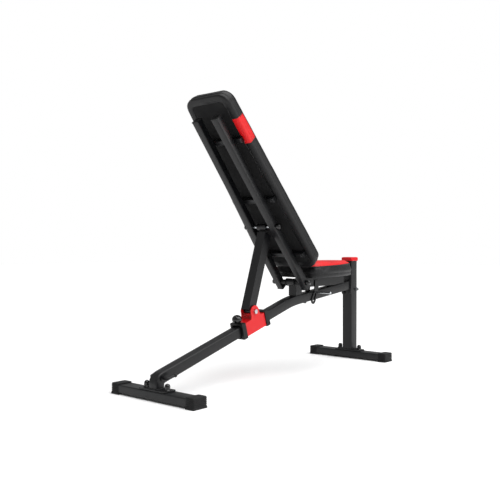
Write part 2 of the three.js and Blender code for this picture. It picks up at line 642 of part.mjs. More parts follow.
// ---------- seat ----------
// Built about the main axle, so that it tilts with it; local frame is level in the drawn pose.
const seat = group(bench, MAIN_PIVOT.x, MAIN_PIVOT.z);
const seatX = (x) => x - MAIN_PIVOT.x;
const seatZ = (z) => z - MAIN_PIVOT.z;
// The underside of the seat tube is scarfed where the beam rises towards it.
const beamRelief = plateXZ(beamOutline(-1.5, 0), -TUBE, TUBE).translate([-MAIN_PIVOT.x, 0, -MAIN_PIVOT.z]);
const seatTube = tubeX(seatX(SEAT_TUBE.rear), seatX(SEAT_TUBE.front), TUBE, TUBE, WALL);
const seatTubeZ = seatZ(SEAT_TUBE.centre);
add(seat, "seat_tube", seatTube.translate([0, 0, seatTubeZ]).subtract(beamRelief), blackPaint);
const seatPlug = tubePlug(TUBE, WALL, 3).translate([seatX(SEAT_TUBE.front), 0, seatTubeZ]);
add(seat, "seat_tube_plug", seatPlug.subtract(beamRelief), nylon);

function hingePlate(side) {
  const radius = 16;
  const reach = 128;
  const low = seatZ(SEAT_TUBE.centre) - 17;
  const high = seatZ(SEAT_TUBE.centre) + 17;
  const shape = new THREE.Shape();
  shape.absarc(0, 0, radius, Math.PI / 2, 1.5 * Math.PI, false);
  shape.lineTo(40, low);
  shape.lineTo(reach, low);
  shape.lineTo(reach, high);
  shape.lineTo(40, high);
  shape.lineTo(0, radius);
  const yLow = side > 0 ? TUBE / 2 + GAP : -PLATE_OUT;
  const plate = plateXZ(shape, yLow, yLow + 3);
  return plate.subtract(barY(sleeveBore, -40, 40));
}

// Curved plate below the seat with a slot on an arc about the main axle.
function adjusterPlate(side) {
  const { slotRadius, slotTop, halfWidth, thickness } = ADJUSTER;
  const slotEnd = slotTop - SEAT_TILT;
  const arcBand = (start, half) => {
    const shape = new THREE.Shape();
    const endX = slotRadius * Math.cos(slotEnd);
    const endZ = slotRadius * Math.sin(slotEnd);
    shape.absarc(0, 0, slotRadius + half, start, slotEnd, true);
    shape.absarc(endX, endZ, half, slotEnd, slotEnd - Math.PI, true);
    shape.absarc(0, 0, slotRadius - half, slotEnd, start, false);
    return shape;
  };
  const yLow = side > 0 ? TUBE / 2 + GAP : -TUBE / 2 - GAP - thickness;
  const plate = plateXZ(arcBand(1.5 * DEG, halfWidth), yLow, yLow + thickness, 10);
  const slotHalf = PIN_RADIUS + 2 * GAP;
  const slot = plateXZ(arcBand(slotTop, slotHalf), yLow - 1, yLow + thickness + 1, 10);
  const pinX = slotRadius * Math.cos(slotTop);
  const pinZ = slotRadius * Math.sin(slotTop);
  return plate.subtract(slot).subtract(barY(slotHalf, -40, 40, pinX, pinZ, 18));
}

for (const [name, side] of SIDES) {
  add(seat, `seat_hinge_plate_${name}`, hingePlate(side), blackPaint);
  add(seat, `seat_adjuster_${name}`, adjusterPlate(side), blackPaint);
}

// Cross plates between the seat tube and the seat board.
for (const [index, x] of [880, 1090].entries()) {
  const plateLow = seatZ(SEAT_TUBE.centre) + TUBE / 2 + GAP;
  const thickness = seatZ(SEAT_BOARD.low) - GAP - plateLow;
  const width = index === 0 ? 150 : 110;
  const plate = boxSolid(40, width, thickness, seatX(x), 0, plateLow + thickness / 2);
  add(seat, `seat_cross_plate_${index + 1}`, plate, blackPaint);
}

// Plan outline of the seat: widest behind the middle, tapering to a round nose.
function seatOutline(inset) {
  const rear = seatX(SEAT_PAD.rear) + inset;
  const front = seatX(SEAT_PAD.front) - inset;
  const shape = new THREE.Shape();
  const half = [[rear, 72 - inset], [rear + 95, 123 - inset], [front - 95, 76 - inset]];
  shape.moveTo(half[0][0], -half[0][1]);
  shape.quadraticCurveTo(rear, -112 + inset, rear + 32, -118 + inset);
  shape.quadraticCurveTo(half[1][0], -half[1][1] - 3, half[1][0] + 60, -117 + inset);
  shape.lineTo(half[2][0], -half[2][1]);
  shape.bezierCurveTo(front - 30, -62 + inset, front, -48 + inset, front, 0);
  shape.bezierCurveTo(front, 48 - inset, front - 30, 62 - inset, half[2][0], half[2][1]);
  shape.lineTo(half[1][0] + 60, 117 - inset);
  shape.quadraticCurveTo(half[1][0], half[1][1] + 3, rear + 32, 118 - inset);
  shape.quadraticCurveTo(rear, 112 - inset, half[0][0], half[0][1]);
  return shape;
}

const seatBoardLow = seatZ(SEAT_BOARD.low);
const seatBoardHigh = seatBoardLow + SEAT_BOARD.thickness;
add(seat, "seat_board", plateXY(seatOutline(SEAT_BOARD.inset), seatBoardLow, seatBoardHigh, 6), board);

function seatPad() {
  const low = seatZ(SEAT_PAD.low);
  const high = seatZ(SEAT_PAD.high);
  const slab = plateXY(seatOutline(0), low, high, 8);
  const rear = seatX(SEAT_PAD.rear);
  const cut = SEAT_PAD.rearChamfer;
  const wedge = polygon([[rear - 1, high + 1], [rear - 1, high - cut - 1], [rear + cut + 1, high + 1]]);
  return slab.subtract(plateXZ(wedge, -200, 200));
}
add(seat, "seat_pad", seatPad(), redVinyl);

// Pin across the adjuster bars, with a long handle end on the right side.
function lockPin() {
  const x = ADJUSTER.slotRadius * Math.cos(ADJUSTER.slotTop);
  const z = ADJUSTER.slotRadius * Math.sin(ADJUSTER.slotTop);
  const shank = barY(PIN_RADIUS, -98, 32, x, z, 18);
  const knob = new THREE.SphereGeometry(6.2, 16, 12).translate(x, -98, z);
  return shank.add(toSolid(knob));
}
add(seat, "seat_lock_pin", lockPin(), chrome);

export default bench;
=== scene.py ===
"""Adjustable weight bench: the looks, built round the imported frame.

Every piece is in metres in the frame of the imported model. Each sub-assembly is a class
that holds its sizes, builds its meshes and dresses them.
"""

import json
import logging
import math
from dataclasses import dataclass
from enum import Enum

import bmesh
import bpy
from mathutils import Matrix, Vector
from mathutils.bvhtree import BVHTree

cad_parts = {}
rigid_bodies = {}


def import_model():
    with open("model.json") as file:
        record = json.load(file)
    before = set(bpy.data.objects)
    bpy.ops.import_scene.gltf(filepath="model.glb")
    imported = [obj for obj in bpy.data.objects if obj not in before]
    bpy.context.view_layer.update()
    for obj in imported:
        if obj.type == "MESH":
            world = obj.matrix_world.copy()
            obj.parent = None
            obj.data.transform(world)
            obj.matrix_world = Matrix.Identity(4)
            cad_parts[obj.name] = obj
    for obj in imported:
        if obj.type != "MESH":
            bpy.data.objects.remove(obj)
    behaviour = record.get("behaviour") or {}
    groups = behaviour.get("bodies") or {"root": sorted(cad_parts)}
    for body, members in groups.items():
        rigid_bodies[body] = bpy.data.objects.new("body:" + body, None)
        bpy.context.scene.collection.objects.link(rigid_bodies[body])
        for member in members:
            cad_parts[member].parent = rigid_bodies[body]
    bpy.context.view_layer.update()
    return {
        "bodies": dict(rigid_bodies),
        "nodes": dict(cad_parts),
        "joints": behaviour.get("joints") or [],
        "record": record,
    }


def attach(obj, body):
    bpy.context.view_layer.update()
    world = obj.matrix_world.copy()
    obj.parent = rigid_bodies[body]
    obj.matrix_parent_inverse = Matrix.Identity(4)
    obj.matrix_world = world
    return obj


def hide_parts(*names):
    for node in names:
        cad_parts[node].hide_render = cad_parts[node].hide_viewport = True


Piece = bpy.types.Object
Material = bpy.types.Material
Ring = list[Vector]
Outline = list[tuple[float, float]]
Triple = tuple[float, float, float]

LOG = logging.getLogger("bench")
MM = 0.001
SHIFT = 636.5  # the frame's origin lies this far in front of the rear foot's rear edge
AXLE = (787.0, 372.0)
REAR_LEVEL = 63.1  # the rear run of the beam, carried back to the foot's rear edge
FRONT_LEVEL = 206.9  # the front run, carried back the same way
REAR_FOOT_X = 33.5
POST_X = 1239.5
HEEL_X = 31.0
PULL_PIN_ALONG = 475.0
HOLE_SPACING = 38.0
HOLE_COUNT = 9
BAND = (-768.0, -663.0)  # the red band's ends, along the backrest
SEAT_REAR = 805.0
SEAT_SEAM = 438.5  # the seam under the red panel, at the seat's rear
SEAT_SEAM_SLOPE = 0.024
BACK_ANGLE = math.radians(50.26)
REAR_SLOPE = math.radians(16.45)
FRONT_SLOPE = math.radians(6.29)
DOWN_BACK = Vector((math.cos(BACK_ANGLE), 0.0, -math.sin(BACK_ANGLE)))
OUT_OF_PAD = Vector((math.sin(BACK_ANGLE), 0.0, math.cos(BACK_ANGLE)))


class Body(str, Enum):
    """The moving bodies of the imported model."""

    FRAME = "frame"
    BACKREST = "backrest"
    STRUT = "strut"
    CARRIAGE = "carriage"
    SEAT = "seat"
    POP_PIN = "pop_pin"
    LOCK_PIN = "lock_pin"


class Shading(Enum):
    """Angle over which an edge is drawn sharp."""

    SOFT = 60.0
    CRISP = 32.0


def bench_point(x: float, y: float, z: float) -> Vector:
    """Turns millimetres from the rear of the foot into frame metres.

    Args:
        x: Distance forward of the rear foot's rear edge.
        y: Distance to the left of the middle.
        z: Height above the floor.

    Returns:
        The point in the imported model's frame.
    """
    return Vector(((x - SHIFT) * MM, y * MM, z * MM))


def back_point(along: float, across: float, out: float) -> Vector:
    """Gives a point on the backrest.

    Args:
        along: Millimetres down the backrest from the main axle, negative above it.
        across: Millimetres to the left.
        out: Millimetres out of the tubes' middle plane, towards the cushion.

    Returns:
        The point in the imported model's frame.
    """
    start = bench_point(AXLE[0], across, AXLE[1])
    return start + DOWN_BACK * (along * MM) + OUT_OF_PAD * (out * MM)


def beam_point(along: float, across: float, height: float) -> Vector:
    """Gives a point beside the rear part of the beam.

    Args:
        along: Millimetres up the beam's centre line from the rear edge of the foot.
        across: Millimetres to the left.
        height: Millimetres square to the centre line.

    Returns:
        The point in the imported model's frame.
    """
    cosine, sine = math.cos(REAR_SLOPE), math.sin(REAR_SLOPE)
    return bench_point(along * cosine - height * sine, across, REAR_LEVEL + along * sine + height * cosine)


def taper(along: float) -> float:
    """Returns half the backrest board's width, wider towards the seat."""
    return 144.6 + 0.0445 * along


# ---------- colours and nodes ----------
def linear(code: str) -> tuple[float, float, float, float]:
    """Turns an sRGB hex colour into linear light.

    Args:
        code: Six hex digits after a hash.

    Returns:
        Red, green, blue and alpha.
    """
    parts = [int(code[i : i + 2], 16) / 255 for i in (1, 3, 5)]
    light = [c / 12.92 if c <= 0.04045 else ((c + 0.055) / 1.055) ** 2.4 for c in parts]
    return (light[0], light[1], light[2], 1.0)


def add_node(tree: bpy.types.NodeTree, kind: str, inputs: dict | None = None, **settings) -> bpy.types.Node:
    """Adds one node with its settings, values and links.

    Args:
        tree: The material's node tree.
        kind: The node's type name.
        inputs: A value or an output socket for each named or numbered input.
        **settings: Properties of the node itself.

    Returns:
        The new node.
    """
    node = tree.nodes.new(kind)
    for key, value in settings.items():
        setattr(node, key, value)
    for key, value in (inputs or {}).items():
        if isinstance(value, bpy.types.NodeSocket):
            tree.links.new(value, node.inputs[key])
        else:
            node.inputs[key].default_value = value
    return node


def remap(
    tree: bpy.types.NodeTree, value: bpy.types.NodeSocket, before: tuple[float, float], after: tuple[float, float]
) -> bpy.types.NodeSocket:
    """Maps a value from one range onto another.

    Args:
        tree: The node tree.
        value: What is mapped.
        before: The range it has.
        after: The range it gets.

    Returns:
        The mapped value.
    """
    limits = {"From Min": before[0], "From Max": before[1], "To Min": after[0], "To Max": after[1]}
    return add_node(tree, "ShaderNodeMapRange", {"Value": value, **limits}).outputs["Result"]


def start_material(name: str) -> tuple[Material, bpy.types.NodeTree, bpy.types.Node, bpy.types.NodeSocket]:
    """Makes an empty material with a surface shader and surface coordinates.

    Args:
        name: The material's name.

    Returns:
        The material, its tree, the shader and the coordinates in metres.
    """
    material = bpy.data.materials.new(name)
    material.use_nodes = True
    tree = material.node_tree
    tree.nodes.clear()
    shader = add_node(tree, "ShaderNodeBsdfPrincipled")
    add_node(tree, "ShaderNodeOutputMaterial", {"Surface": shader.outputs["BSDF"]})
    coordinates = add_node(tree, "ShaderNodeTexCoord").outputs["Object"]
    return material, tree, shader, coordinates


@dataclass(frozen=True)
class CoatedSurface:
    """A paint, rubber or moulded plastic skin: even colour, fine relief and uneven gloss."""

    name: str
    colour: str
    light_colour: str  # where handling has dusted or polished it
    roughness: float
    roughness_spread: float
    grain_mm: float  # spacing of the fine relief
    relief_mm: float
    coat: float = 0.0
    specular: float = 0.3

    def build(self) -> Material:
        """Returns the finished material."""
        material, tree, shader, place = start_material(self.name)
        cloudy = add_node(tree, "ShaderNodeTexNoise", {"Vector": place, "Scale": 14.0, "Detail": 5.0})
        tint = remap(tree, cloudy.outputs["Fac"], (0.35, 0.75), (0.0, 1.0))
        mix = add_node(tree, "ShaderNodeMix", {"Factor": tint}, data_type="RGBA")
        mix.inputs[6].default_value = linear(self.colour)
        mix.inputs[7].default_value = linear(self.light_colour)
        tree.links.new(mix.outputs[2], shader.inputs["Base Color"])
        span = (self.roughness - self.roughness_spread, self.roughness + self.roughness_spread)
        gloss = remap(tree, cloudy.outputs["Fac"], (0.3, 0.7), span)
        tree.links.new(gloss, shader.inputs["Roughness"])
        grain = add_node(tree, "ShaderNodeTexNoise", {"Vector": place, "Scale": 1000.0 / self.grain_mm, "Detail": 2.0})
        bump = add_node(
            tree, "ShaderNodeBump", {"Height": grain.outputs["Fac"], "Strength": 1.0, "Distance": self.relief_mm * MM}
        )
        tree.links.new(bump.outputs["Normal"], shader.inputs["Normal"])
        shader.inputs["Specular IOR Level"].default_value = self.specular
        shader.inputs["Coat Weight"].default_value = self.coat
        shader.inputs["Coat Roughness"].default_value = 0.08
        return material


@dataclass(frozen=True)
class PlatedSteel:
    """Chromed or zinc-plated steel: metal with finger smears and fine turning lines."""

    name: str
    colour: str
    roughness: float
    smear: float

    def build(self) -> Material:
        """Returns the finished material."""
        material, tree, shader, place = start_material(self.name)
        shader.inputs["Base Color"].default_value = linear(self.colour)
        shader.inputs["Metallic"].default_value = 1.0
        smears = add_node(tree, "ShaderNodeTexNoise", {"Vector": place, "Scale": 90.0, "Detail": 4.0})
        gloss = remap(tree, smears.outputs["Fac"], (0.0, 1.0), (self.roughness, self.roughness + self.smear))
        tree.links.new(gloss, shader.inputs["Roughness"])
        lines = add_node(tree, "ShaderNodeTexNoise", {"Vector": place, "Scale": 1400.0, "Detail": 1.0})
        bump = add_node(tree, "ShaderNodeBump", {"Height": lines.outputs["Fac"], "Distance": 0.00002})
        tree.links.new(bump.outputs["Normal"], shader.inputs["Normal"])
        return material


@dataclass(frozen=True)
class CoatedFabric:
    """Vinyl-coated upholstery cloth with a pebbled leather print and an inset second colour."""

    name: str
    colour: str
    panel_colour: str
    panel_axis: tuple[float, float, float]
    panel_low: float
    panel_high: float
    roughness: float = 0.46
    pebble_mm: float = 2.2  # assumed, and coarse enough to show

    def build(self) -> Material:
        """Returns the finished material."""
        material, tree, shader, place = start_material(self.name)
        height = add_node(tree, "ShaderNodeVectorMath", {0: place, 1: self.panel_axis}, operation="DOT_PRODUCT")
        level = height.outputs["Value"]
        above = add_node(tree, "ShaderNodeMath", {0: level, 1: self.panel_low}, operation="GREATER_THAN")
        below = add_node(tree, "ShaderNodeMath", {0: level, 1: self.panel_high}, operation="LESS_THAN")
        inside = add_node(tree, "ShaderNodeMath", {0: above.outputs[0], 1: below.outputs[0]}, operation="MULTIPLY")
        mix = add_node(tree, "ShaderNodeMix", {"Factor": inside.outputs[0]}, data_type="RGBA")
        mix.inputs[6].default_value = linear(self.colour)
        mix.inputs[7].default_value = linear(self.panel_colour)
        # Handling leaves broad, faint lighter patches.
        patches = add_node(tree, "ShaderNodeTexNoise", {"Vector": place, "Scale": 9.0, "Detail": 4.0})
        shade = remap(tree, patches.outputs["Fac"], (0.3, 0.7), (0.85, 1.15))
        vary = add_node(tree, "ShaderNodeHueSaturation", {"Color": mix.outputs[2], "Value": shade})
        tree.links.new(vary.outputs["Color"], shader.inputs["Base Color"])
        gloss = remap(tree, patches.outputs["Fac"], (0.0, 1.0), (self.roughness - 0.08, self.roughness + 0.1))
        tree.links.new(gloss, shader.inputs["Roughness"])
        cells = {"Vector": place, "Scale": 1000.0 / self.pebble_mm}
        pebbles = add_node(tree, "ShaderNodeTexVoronoi", cells, feature="DISTANCE_TO_EDGE")
        relief = {"Height": pebbles.outputs["Distance"], "Strength": 0.55, "Distance": 0.0004}
        print_bump = add_node(tree, "ShaderNodeBump", relief)
        drape = add_node(tree, "ShaderNodeTexNoise", {"Vector": place, "Scale": 22.0, "Detail": 3.0})
        folds = {"Height": drape.outputs["Fac"], "Strength": 0.5, "Distance": 0.003}
        soft_bump = add_node(tree, "ShaderNodeBump", {**folds, "Normal": print_bump.outputs["Normal"]})
        tree.links.new(soft_bump.outputs["Normal"], shader.inputs["Normal"])
        shader.inputs["Specular IOR Level"].default_value = 0.3
        return material


def dot3(axis: Vector, point: Vector) -> float:
    """Returns how far a point lies along an axis."""
    return axis.x * point.x + axis.y * point.y + axis.z * point.z


class Palette:
    """Every finish on the bench, built once."""

    def __init__(self) -> None:
        """Builds the materials."""
        up_back = -DOWN_BACK
        band_low = dot3(up_back, back_point(BAND[1], 0, 0))
        band_high = dot3(up_back, back_point(BAND[0], 0, 0))
        seat_axis = Vector((-SEAT_SEAM_SLOPE, 0.0, 1.0))
        seat_line = dot3(seat_axis, bench_point(SEAT_REAR, 0, SEAT_SEAM))
        # Polyester powder coat on steel: semi-gloss with a slight orange peel.
        self.black_paint = CoatedSurface(
            "black powder coat", "#0B0B0D", "#101113", 0.38, 0.06, 3.0, 0.05, 0.06
        ).build()
        self.red_paint = CoatedSurface(
            "red powder coat", "#C80D14", "#CF1219", 0.36, 0.05, 3.0, 0.04, 0.08
        ).build()
        # Moulded rubber: matt, slightly dusty.
        self.rubber = CoatedSurface(
            "moulded rubber", "#0B0B0C", "#111113", 0.62, 0.08, 1.6, 0.08
        ).build()
        # Moulded nylon plugs and liners: satin with a spark-eroded grain. The same finish fills the hole discs on the
        # beam and post, where it paints the shade inside the holes.
        self.nylon = CoatedSurface("moulded nylon", "#09090A", "#0E0E10", 0.48, 0.06, 1.2, 0.06).build()
        # Polished phenolic knobs: deep gloss.
        self.phenolic = CoatedSurface(
            "polished phenolic", "#050506", "#08080A", 0.12, 0.03, 6.0, 0.01, 0.5
        ).build()
        # Painted fibreboard behind the cushions: dull with a fibre nap.
        self.fibreboard = CoatedSurface(
            "painted fibreboard", "#070708", "#0D0D0E", 0.85, 0.08, 2.4, 0.2
        ).build()
        self.chrome = PlatedSteel("chromed steel", "#B9BCBF", 0.2, 0.12).build()
        self.zinc = PlatedSteel("zinc-plated steel", "#9A9C9E", 0.3, 0.12).build()
        self.back_cover = CoatedFabric(
            "backrest vinyl", "#09090B", "#CC0C12", tuple(up_back), band_low, band_high
        ).build()
        self.seat_cover = CoatedFabric(
            "seat vinyl", "#09090B", "#CC0C12", tuple(seat_axis), seat_line, 9.0
        ).build()
        self.thread = CoatedSurface("polyester thread", "#141416", "#202022", 0.6, 0.05, 0.8, 0.1).build()
        self.piping = CoatedSurface("vinyl piping", "#0D0D0F", "#151517", 0.42, 0.06, 1.5, 0.06).build()


# ---------- mesh making ----------
def make_object(name: str, points: list[Vector], faces: list[tuple[int, ...]], shading: Shading) -> Piece:
    """Makes a mesh object with its normals facing out.

    Args:
        name: The piece's name.
        points: Vertices in metres.
        faces: Vertex numbers of each face.
        shading: How sharp an edge has to be to show as a crease.

    Returns:
        The new object.
    """
    mesh = bpy.data.meshes.new(name)
    mesh.from_pydata(points, [], faces)
    mesh.validate()
    work = bmesh.new()
    work.from_mesh(mesh)
    bmesh.ops.recalc_face_normals(work, faces=work.faces)
    work.to_mesh(mesh)
    work.free()
    mesh.shade_smooth()
    mesh.set_sharp_from_angle(angle=math.radians(shading.value))
    obj = bpy.data.objects.new(name, mesh)
    bpy.context.scene.collection.objects.link(obj)
    return obj


def loft(name: str, rings: list[Ring], looped: bool = False, shading: Shading = Shading.CRISP) -> Piece:
    """Skins a stack of rings.

    Args:
        name: The piece's name.
        rings: Closed rings with the same number of points.
        looped: True joins the last ring to the first, and False caps both ends.
        shading: How sharp an edge has to be to show as a crease.

    Returns:
        The new object.
    """
    count = len(rings[0])
    points = [point for ring in rings for point in ring]
    faces: list[tuple[int, ...]] = []
    steps = len(rings) if looped else len(rings) - 1
    for step in range(steps):
        low, high = step * count, ((step + 1) % len(rings)) * count
        for i in range(count):
            j = (i + 1) % count
            faces.append((low + i, low + j, high + j, high + i))
    if not looped:
        faces.append(tuple(range(count)))
        faces.append(tuple((len(rings) - 1) * count + i for i in range(count)))
    return make_object(name, points, faces, shading)


def rounded_rectangle(half_a: float, half_b: float, radius: float, arc: int = 5) -> Outline:
    """Draws a rectangle with round corners.

    Args:
        half_a: Half its size one way.
        half_b: Half its size the other way.
        radius: Corner radius.
        arc: Points on each corner.

    Returns:
        The outline, corner by corner.
    """
    outline = []
    for number, (side_a, side_b) in enumerate(((1, 1), (-1, 1), (-1, -1), (1, -1))):
        for i in range(arc + 1):
            turn = math.radians(90 * number + 90 * i / arc)
            outline.append(
                (
                    side_a * (half_a - radius) + radius * math.cos(turn),
                    side_b * (half_b - radius) + radius * math.sin(turn),
                )
            )
    return outline


def sweep(name: str, path: list[Vector], side: Vector, outline: Outline, looped: bool = False) -> Piece:
    """Carries an outline in millimetres along a path.

    Args:
        name: The piece's name.
        path: Points of the path, in metres.
        side: The direction that the outline's first axis keeps.
        outline: The section, in millimetres.
        looped: True when the path is closed.

    Returns:
        The new object.
    """
    rings = []
    last = len(path) - 1
    for i, point in enumerate(path):
        if looped:
            ahead = path[(i + 1) % len(path)] - path[i - 1]
        else:
            ahead = path[min(i + 1, last)] - path[max(i - 1, 0)]
        ahead.normalize()
        across = (side - ahead * side.dot(ahead)).normalized()
        up = ahead.cross(across)
        rings.append([point + across * (a * MM) + up * (b * MM) for a, b in outline])
    return loft(name, rings, looped)


def turned(name: str, foot: Vector, axis: Vector, profile: Outline, sides: int = 48) -> Piece:
    """Turns a profile about an axis.

    Args:
        name: The piece's name.
        foot: Where the axis starts, in metres.
        axis: Its direction.
        profile: Radius and height pairs, in millimetres.
        sides: Points on each ring.

    Returns:
        The new object.
    """
    axis = axis.normalized()
    first = axis.orthogonal().normalized()
    second = axis.cross(first)
    rings = []
    for radius, height in profile:
        ring = []
        for i in range(sides):
            turn = 2 * math.pi * i / sides
            out = first * math.cos(turn) + second * math.sin(turn)
            ring.append(foot + axis * (height * MM) + out * (max(radius, 0.02) * MM))
        rings.append(ring)
    return loft(name, rings)


def dress(piece: Piece, body: Body, slot: str, material: Material, *nodes: str) -> Piece:
    """Paints a piece, hangs it on its body and lets it stand for CAD nodes.

    Args:
        piece: The object.
        body: The body it moves with.
        slot: The record's material slot; not used.
        material: Its finish.
        *nodes: CAD nodes that it stands for.

    Returns:
        The same object.
    """
    piece.data.materials.clear()
    piece.data.materials.append(material)
    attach(piece, body.value)
    if nodes:
        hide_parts(*nodes)
    LOG.info("%s on %s", piece.name, body.value)
    return piece


def weld_bead(name: str, path: list[Vector], radius: float) -> Piece:
    """Lays a rippled weld bead along a closed path.

    Args:
        name: The piece's name.
        path: Points about a ripple apart, in metres.
        radius: Bead radius in millimetres.

    Returns:
        The new object.
    """
    rings = []
    count = len(path)
    for i, point in enumerate(path):
        before = path[i - 1]
        after = path[(i + 1) % count]
        ahead = (after - before).normalized()
        first = ahead.orthogonal().normalized()
        second = ahead.cross(first)
        size = radius * (1.0 + 0.22 * math.sin(i * 2.1)) * MM
        turns = [2 * math.pi * k / 8 for k in range(8)]
        rings.append([point + first * (size * math.cos(t)) + second * (size * math.sin(t)) for t in turns])
    return loft(name, rings, True, Shading.SOFT)


def square_path(centre: Vector, half_x: float, half_y: float, spacing: float = 3.0) -> list[Vector]:
    """Walks round a level rectangle.

    Args:
        centre: Its middle, in metres.
        half_x: Half its size in X, in millimetres.
        half_y: Half its size in Y, in millimetres.
        spacing: Distance between points, in millimetres.

    Returns:
        The points of the closed path.
    """
    corners = [(1, 1), (-1, 1), (-1, -1), (1, -1)]
    path = []
    for i, (a, b) in enumerate(corners):
        c, d = corners[(i + 1) % 4]
        start = Vector((a * half_x, b * half_y, 0)) * MM
        end = Vector((c * half_x, d * half_y, 0)) * MM
        steps = max(2, int((end - start).length / MM / spacing))
        path.extend(centre + start.lerp(end, k / steps) for k in range(steps))
    return path


# ---------- frame ----------
@dataclass
class Foot:
    """A cross foot with its two moulded shoes."""

    end: str
    centre_x: float
    palette: Palette
    half_width: float = 208.5
    shoe_length: float = 41.0
    rib_pitch: float = 6.2

    def build(self) -> None:
        """Builds and dresses the tube, the base plate, the shoes and the cap bolts."""
        paint = self.palette.black_paint
        path = [bench_point(self.centre_x, y, 20.0) for y in (-204.0, 204.0)]
        tube = sweep(f"{self.end}_foot_bar", path, Vector((1, 0, 0)), rounded_rectangle(30, 15, 4))
        dress(tube, Body.FRAME, "black_powder_coat", paint, f"{self.end}_foot_tube")
        plate_rings = []
        for inset, z in ((1.0, 35.3), (0.0, 36.2), (0.0, 39.4), (1.0, 40.3)):
            outline = rounded_rectangle(28 - inset, 66 - inset, 6)
            plate_rings.append([bench_point(self.centre_x + a, b, z) for a, b in outline])
        dress(
            loft(f"{self.end}_plate", plate_rings), Body.FRAME, "black_powder_coat", paint, f"{self.end}_base_plate"
        )
        for name, side in (("left", 1), ("right", -1)):
            self.shoe(name, side)
            self.cap_bolt(name, side)

    def shoe(self, name: str, side: int) -> None:
        """Builds one ribbed shoe.

        Args:
            name: Its side of the bench.
            side: 1 for the left and -1 for the right.
        """
        middle = side * (self.half_width - self.shoe_length / 2)
        levels = [(1.2, 0.0), (0.0, 1.0), (0.0, 4.4), (0.8, 5.0)]
        z = 6.0
        while z < 34.0:
            # A groove 2.2 mm deep between ribs.
            levels += [(1.2, z), (1.2, z + 3.4), (3.4, z + 4.2), (3.4, z + self.rib_pitch - 0.6)]
            z += self.rib_pitch
        levels += [(1.6, 37.0), (2.4, 38.2), (4.2, 39.0)]
        rings = []
        for inset, height in levels:
            outline = rounded_rectangle(33.5 - inset, self.shoe_length / 2 - inset * 0.6, 4.0)
            rings.append([bench_point(self.centre_x + a, middle + b, height) for a, b in outline])
        shoe = loft(f"{self.end}_shoe_{name}", rings)
        dress(shoe, Body.FRAME, "black_rubber", self.palette.rubber, f"{self.end}_foot_shoe_{name}")

    def cap_bolt(self, name: str, side: int) -> None:
        """Builds one flanged dome cap on the base plate.

        Args:
            name: Its side of the bench.
            side: 1 for the left and -1 for the right.
        """
        foot = bench_point(self.centre_x, side * 52.0, 40.6)
        profile = [(0, 0), (12, 0), (12.3, 1.0), (11.6, 2.6), (10.2, 3.6), (9.9, 5), (9.9, 12), (9.4, 15)]
        profile += [(7.8, 18.6), (5.2, 21), (2.4, 22.2), (0, 22.5)]
        cap = turned(f"{self.end}_cap_bolt_{name}", foot, Vector((0, 0, 1)), profile)
        dress(cap, Body.FRAME, "gloss_black_plastic", self.palette.phenolic, f"{self.end}_foot_bolt_{name}")


